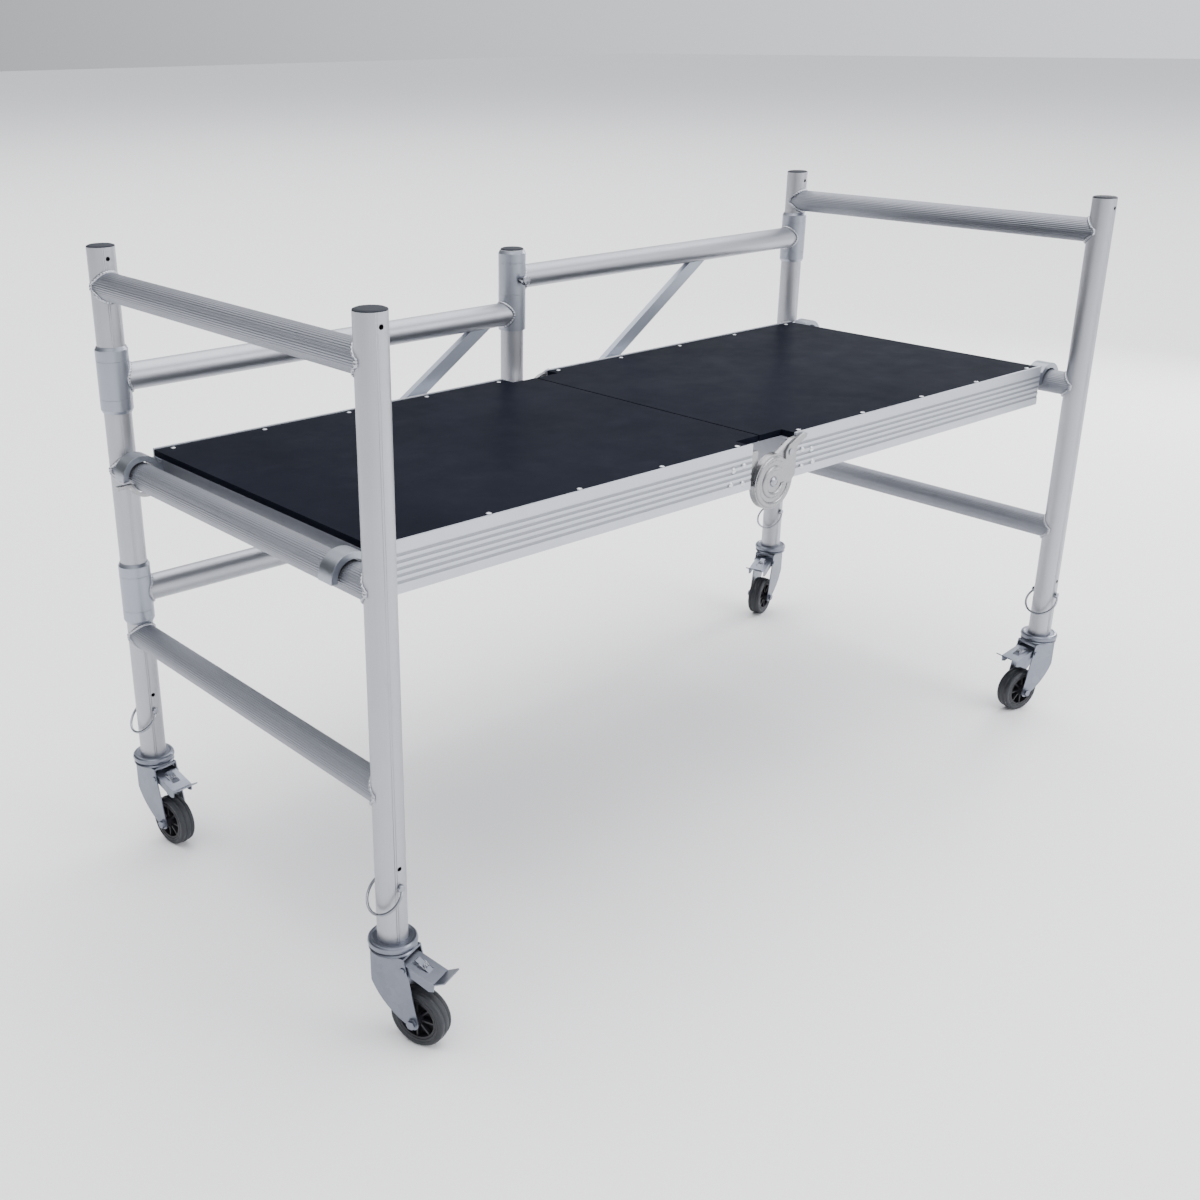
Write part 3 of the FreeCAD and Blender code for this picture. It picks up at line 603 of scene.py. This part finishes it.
def brake_springs():
    """The bent spring wire that shows in the slot of each pedal."""
    for corner in CORNERS:
        pivot, axis = joint_place(corner + "_brake_press")
        up = Vector((0, 0, 1))
        out = axis.cross(up).normalized()
        wheel = joint_place(corner + "_roll")[0]
        if (wheel - Vector((pivot.x, pivot.y, wheel.z))).dot(out) < 0:
            out = -out
        points = [pivot + out * a + up * b + axis * c for a, b, c in SPRING_SHAPE]
        mesh_piece(corner + "_brake_spring", *wire(points, SPRING_WIRE_R), MATERIALS["plated_steel"],
                   corner + "_brake", "plated_steel")


# Rivets and deck screws

RIVET_R = 0.0060
RIVET_HEIGHT = 0.0030
RIVETS = ((0.085, 0.016), (0.118, 0.020), (0.112, 0.046), (0.084, 0.050))
SCREW_R = 0.0050
SCREW_HEIGHT = 0.0018
SCREW_COUNT = 5
SCREW_IN = 0.0111
SCREW_START = 0.088
SCREW_END = 0.034
HEAD_SUNK = 0.0004


def fasteners():
    """Domed rivets on the rails and screw heads on the deck, in place of the plain solids."""
    for side in SIDES:
        sign = -1 if side == "left" else 1
        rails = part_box(side + "_side_rails")
        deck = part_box(side + "_deck")
        parts = []
        for face, s in ((rails[0][1], -1), (rails[1][1], 1)):
            for x, z in RIVETS:
                origin = Vector((MIDDLE.x + sign * x, face - s * HEAD_SUNK, rails[0][2] + z))
                parts.append(dome(origin, Vector((0, s, 0)), RIVET_R, RIVET_HEIGHT))
        far = max(abs(deck[0][0] - MIDDLE.x), abs(deck[1][0] - MIDDLE.x))
        span = far - SCREW_END - SCREW_START
        for y in (deck[0][1] + SCREW_IN, deck[1][1] - SCREW_IN):
            for i in range(SCREW_COUNT):
                x = MIDDLE.x + sign * (SCREW_START + span * i / (SCREW_COUNT - 1))
                parts.append(dome(Vector((x, y, DECK_TOP - HEAD_SUNK)), AXES["z"], SCREW_R, SCREW_HEIGHT))
        piece = mesh_piece(side + "_rivet_heads", *joined(parts), MATERIALS["rivet_aluminium"],
                           "platform_" + side, "rivet_aluminium")
        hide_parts(side + "_fasteners")


# Pressed beads of the hinges

HINGE_FACE = 0.004
BEAD_STEPS = 72
BEAD_ACROSS = 10
BEAD_LIFT = -0.0003
BEAD_ROOT = 0.0012
BEAD_FADE = 10
BEAD_TIP = 0.02
# Radius, half width, height, start and end angle
HINGE_BEADS = (
    (0.0455, 0.0056, 0.0029, 70, 346),
    (0.0265, 0.0058, 0.0034, 60, 346),
)


def arc_bead(point, out, radius, width, height, start, end):
    """A rounded ridge along an arc in the plane across out, run out to nothing at both ends."""
    rings = []
    for i in range(BEAD_STEPS + 1):
        t = i / BEAD_STEPS
        angle = math.radians(start + (end - start) * t)
        ray = Vector((math.cos(angle), 0, math.sin(angle)))
        fade = math.sqrt(min(1.0, BEAD_FADE * t + BEAD_TIP, BEAD_FADE * (1 - t) + BEAD_TIP))
        ring = []
        for j in range(BEAD_ACROSS + 1):
            turn = math.pi * j / BEAD_ACROSS
            side = width * fade * math.cos(turn)
            rise = height * fade * math.sin(turn) + BEAD_LIFT
            ring.append(point + ray * (radius + side) + out * rise)
        ring.append(point + ray * radius - out * BEAD_ROOT)
        rings.append(ring)
    return loft(rings)


def hinge_beads():
    """The rounded rim and the open ring pressed into each hinge's outer disc."""
    middle = centre("hinge_rivets")
    low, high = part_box("right_side_rails")
    parts = []
    for y, s in ((low[1], -1), (high[1], 1)):
        out = Vector((0, s, 0))
        point = Vector((middle.x, y + s * HINGE_FACE, middle.z))
        parts += [arc_bead(point, out, *bead) for bead in HINGE_BEADS]
    mesh_piece("hinge_beads", *joined(parts), MATERIALS["hinge_metal"], "platform_right", "hinge_metal")


# Spring wires that keep the casters in the posts

# The wire's arc starts beside the post at BAIL_HALF and passes through BAIL_REACH, from the pin's height
BAIL_HEIGHT = 0.102
BAIL_HALF = 0.0309
BAIL_TOP = -0.0045
BAIL_REACH = (-0.037, -0.044)
BAIL_WIRE_R = 0.0025
BAIL_POINTS = 10


def bail_wires():
    """A thicker skin over each bail's bent wire."""
    slope = Vector((BAIL_REACH[0], 0, BAIL_REACH[1] - BAIL_TOP))
    depth = slope.length
    ahead = slope.normalized()
    radius = (BAIL_HALF ** 2 + depth ** 2) / (2 * depth)
    half = math.acos((radius - depth) / radius)
    for side in SIDES:
        parts = []
        for end in ("front", "back"):
            top = Vector((POST_X[side], POST_Y[end], POST_LOW + BAIL_HEIGHT + BAIL_TOP))
            middle = top + ahead * (depth - radius)
            points = []
            for i in range(2 * BAIL_POINTS + 1):
                angle = half * (i / BAIL_POINTS - 1)
                points.append(middle + (ahead * math.cos(angle) + AXES["y"] * math.sin(angle)) * radius)
            parts.append(wire(points, BAIL_WIRE_R))
        mesh_piece(side + "_bail_wires", *joined(parts), MATERIALS["plated_steel"],
                   side + "_frame", "plated_steel")


# Stage, light and camera

CAMERA_FROM_CENTRE = Vector((-2.0678, -1.9985, 0))
CAMERA_HEIGHT = 1.5481
CAMERA_YAW = 38.736
CAMERA_PITCH = -22.069
CAMERA_ROLL = -0.668
CAMERA_LENS = 42.72
CAMERA_SHIFT = (0.1099, 0.003)
FLOOR_HALF = 60.0
FLOOR_TONES = ((0.915, 0.915, 0.92), (0.935, 0.935, 0.94))

# Name, place, target, size and power
LIGHTS = (
    ("overhead", (1.5, 3.0, 14.0), (1.5, 3.0, 0), (24.0, 24.0), 5200),
    ("key", (2.4, -4.8, 2.6), (0.3, 0, 0.7), (2.6, 2.2), 110),
    ("edge", (4.6, 0.6, 2.2), (0, 0, 0.8), (1.0, 2.4), 90),
)

# The world is brightest towards WORLD_LIT; its strength runs between the two values of WORLD_STRENGTH
WORLD_LIT = (0.70, -0.68, 0.20)
WORLD_FROM = (-0.9, 0.4)
WORLD_STRENGTH = (0.12, 1.3)
WORLD_TONE = (0.93, 0.95, 1.0)


def object_centre():
    x = (POST_X["left"] + POST_X["right"]) / 2
    y = (POST_Y["front"] + POST_Y["back"]) / 2
    return Vector((x, y, 0))


def camera_axes():
    yaw, pitch, roll = (math.radians(v) for v in (CAMERA_YAW, CAMERA_PITCH, CAMERA_ROLL))
    ahead = Vector((math.sin(yaw) * math.cos(pitch), math.cos(yaw) * math.cos(pitch), math.sin(pitch)))
    right = Vector((math.cos(yaw), -math.sin(yaw), 0))
    up = right.cross(ahead)
    turned_right = right * math.cos(roll) + up * math.sin(roll)
    turned_up = up * math.cos(roll) - right * math.sin(roll)
    return turned_right, turned_up, ahead


def camera():
    data = bpy.data.cameras.new("camera")
    data.sensor_width = 36.0
    data.lens = CAMERA_LENS
    data.shift_x, data.shift_y = CAMERA_SHIFT
    data.clip_end = 100.0
    obj = bpy.data.objects.new("camera", data)
    bpy.context.collection.objects.link(obj)
    right, up, ahead = camera_axes()
    turn = Matrix((right, up, -ahead)).transposed().to_4x4()
    place = object_centre() + CAMERA_FROM_CENTRE
    place.z = CAMERA_HEIGHT
    obj.matrix_world = Matrix.Translation(place) @ turn
    bpy.context.scene.camera = obj


def area_light(name, place, target, size, power):
    data = bpy.data.lights.new(name, "AREA")
    data.shape = "RECTANGLE"
    data.size, data.size_y = size
    data.energy = power
    obj = bpy.data.objects.new(name, data)
    bpy.context.collection.objects.link(obj)
    obj.location = place
    obj.rotation_euler = (Vector(target) - Vector(place)).to_track_quat("-Z", "Y").to_euler()


def floor():
    h = FLOOR_HALF
    mesh = bpy.data.meshes.new("floor")
    mesh.from_pydata([(-h, -h, 0), (h, -h, 0), (h, h, 0), (-h, h, 0)], [], [(0, 1, 2, 3)])
    obj = bpy.data.objects.new("floor", mesh)
    bpy.context.collection.objects.link(obj)
    n = Nodes("floor_pale", FLOOR_TONES[0], 0.85, Specular_IOR_Level=0.1)
    n.color(n.mix(n.noise(0.6, 3.0), *FLOOR_TONES))
    n.bump(n.noise(300.0, 2.0), 0.00005, 0.3)
    obj.data.materials.append(n.material)


def studio_world():
    """A soft surround, bright on one side so that round tubes show their shape."""
    world = bpy.data.worlds.new("studio")
    world.use_nodes = True
    tree = world.node_tree
    tree.nodes.clear()
    out = tree.nodes.new("ShaderNodeOutputWorld")
    back = tree.nodes.new("ShaderNodeBackground")
    where = tree.nodes.new("ShaderNodeTexCoord")
    dot = tree.nodes.new("ShaderNodeVectorMath")
    dot.operation = "DOT_PRODUCT"
    dot.inputs[1].default_value = WORLD_LIT
    ramp = tree.nodes.new("ShaderNodeMapRange")
    for key, value in zip(("From Min", "From Max", "To Min", "To Max"), WORLD_FROM + WORLD_STRENGTH):
        ramp.inputs[key].default_value = value
    tree.links.new(where.outputs["Generated"], dot.inputs[0])
    tree.links.new(dot.outputs["Value"], ramp.inputs["Value"])
    tree.links.new(ramp.outputs["Result"], back.inputs["Strength"])
    back.inputs["Color"].default_value = (*WORLD_TONE, 1)
    tree.links.new(back.outputs["Background"], out.inputs["Surface"])
    bpy.context.scene.world = world


camera()
floor()
for light in LIGHTS:
    area_light(*light)
studio_world()
paint_frame()
welds()
post_seams()
wheels()
brake_springs()
fasteners()
hinge_beads()
bail_wires()
